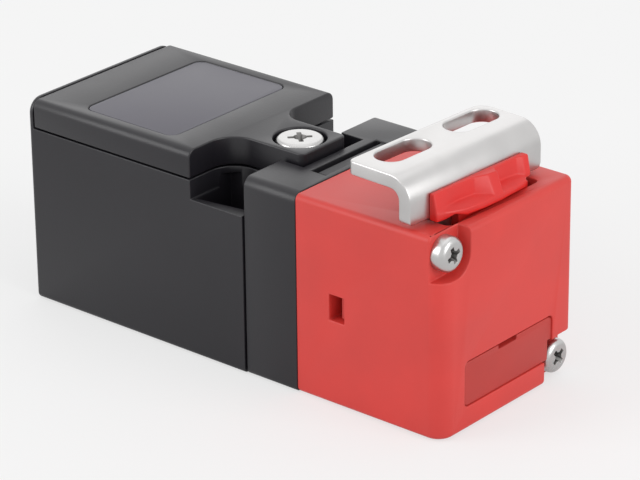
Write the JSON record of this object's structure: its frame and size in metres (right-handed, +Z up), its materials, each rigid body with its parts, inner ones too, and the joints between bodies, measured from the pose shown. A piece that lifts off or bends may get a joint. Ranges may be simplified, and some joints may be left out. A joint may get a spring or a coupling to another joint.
{
  "type": "tongue interlock switch",
  "caption": "Safety interlock switch with a black limit-switch body, screwed lid, red cam head and a separate bent-steel tongue that slides out of the head.",
  "frame": {"origin": "middle of the bottom face, under the middle of the length and width", "axes": "+X along the length towards the end face of the red head, +Y across the width, +Z up through the lid and out of the tongue entry"},
  "size_m": [0.076, 0.03, 0.0373],
  "materials": {
    "black_plastic": "fine satin grain",
    "collar_plastic": "fine satin grain",
    "label_film": "satin film, blank",
    "red_plastic": "satin",
    "red_plug": "satin",
    "red_guide": "satin",
    "red_carrier": "moulded",
    "steel": "stainless, sheared edges",
    "screw_steel": "zinc plated",
    "pin_steel": "ground",
    "seal_rubber": "matt",
    "cam_plastic": "natural acetal",
    "block_plastic": "moulded",
    "contact_metal": "silver-tipped brass"
  },
  "bodies": {
    "switch": {"body_housing": "black_plastic", "cam_axle": "pin_steel", "cam_carrier": "red_carrier", "contact_block_base": "block_plastic", "contact_block_cap": "block_plastic", "cover": "black_plastic", "cover_gasket": "seal_rubber", "cover_screw": "screw_steel", "fixed_contact_closing_far": "contact_metal", "fixed_contact_closing_near": "contact_metal", "fixed_contact_opening_far": "contact_metal", "fixed_contact_opening_near": "contact_metal", "head_collar": "collar_plastic", "head_housing": "red_plastic", "head_screw_lower": "screw_steel", "head_screw_upper": "screw_steel", "label_plate": "label_film", "plunger_seal": "seal_rubber", "plunger_spring": "pin_steel", "slot_plug": "red_plug", "terminal_screw_front_far": "screw_steel", "terminal_screw_front_near": "screw_steel", "terminal_screw_rear_far": "screw_steel", "terminal_screw_rear_near": "screw_steel"},
    "tongue": {"actuator_bracket": "steel", "guide_block": "red_guide"},
    "cam": {"cam_rotor": "cam_plastic"},
    "plunger": {"plunger": "cam_plastic"},
    "contact_carrier": {"contact_slider": "cam_plastic", "contact_bridge_opening": "contact_metal", "contact_bridge_closing": "contact_metal"}
  },
  "joints": [
    {"name": "tongue_slide", "type": "slide", "parent": "switch", "child": "tongue", "axis": [0, 0, 1], "range_m": [0, 0.03]},
    {"name": "cam_turn", "type": "hinge", "parent": "switch", "child": "cam", "pos_m": [0.023, 0, 0.015], "axis": [0, -1, 0], "range_deg": [0, 120]},
    {"name": "plunger_slide", "type": "slide", "parent": "switch", "child": "plunger", "axis": [-1, 0, 0], "range_m": [0, 0.003]},
    {"name": "contact_slide", "type": "slide", "parent": "switch", "child": "contact_carrier", "axis": [-1, 0, 0], "range_m": [0, 0.003]}
  ],
  "couplings": [
    {"joint": "cam_turn", "follows": "tongue_slide", "rad_per_m": 69.813},
    {"joint": "plunger_slide", "follows": "tongue_slide", "ratio": 0.1},
    {"joint": "contact_slide", "follows": "tongue_slide", "ratio": 0.1}
  ]
}
